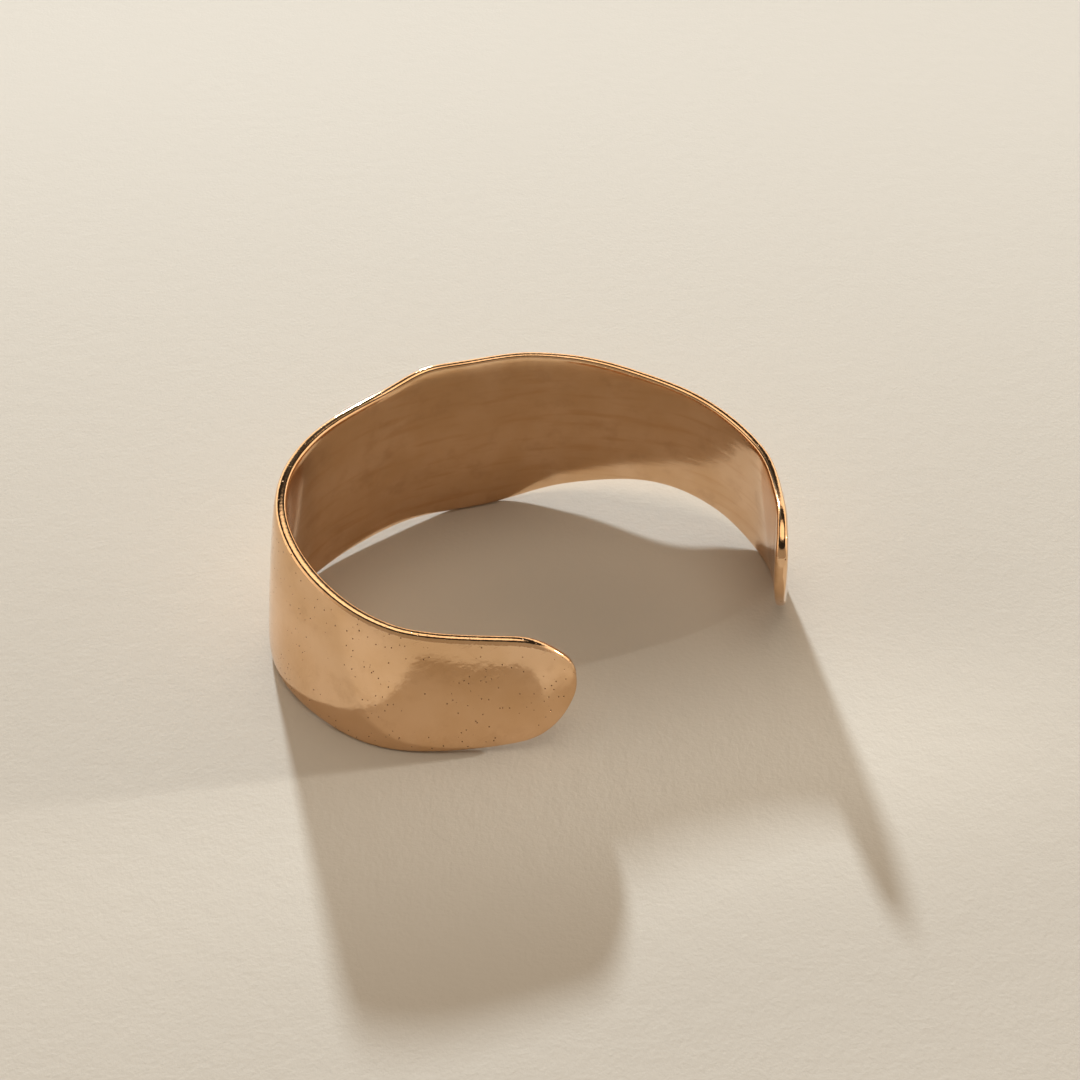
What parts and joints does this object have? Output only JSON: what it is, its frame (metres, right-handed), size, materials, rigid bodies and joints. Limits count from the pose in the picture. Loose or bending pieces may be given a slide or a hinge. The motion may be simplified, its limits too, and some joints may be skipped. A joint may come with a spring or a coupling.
{
  "type": "open cuff bracelet",
  "caption": "Plain open cuff bracelet: one polished bronze band, widest opposite the gap, tapering to two rounded paddle ends.",
  "frame": {"origin": "centre of the plan box, on the surface that the cuff lies on", "axes": "+Z along the wrist axis, +X along the long way of the oval, the gap on the -Y side towards +X"},
  "size_m": [0.061, 0.0478, 0.0235],
  "materials": {
    "bronze": "polished bronze, hand-finished, with fine brushing inside and small casting pits"
  },
  "bodies": {
    "root": {"cuff_band": "bronze"}
  },
  "joints": []
}
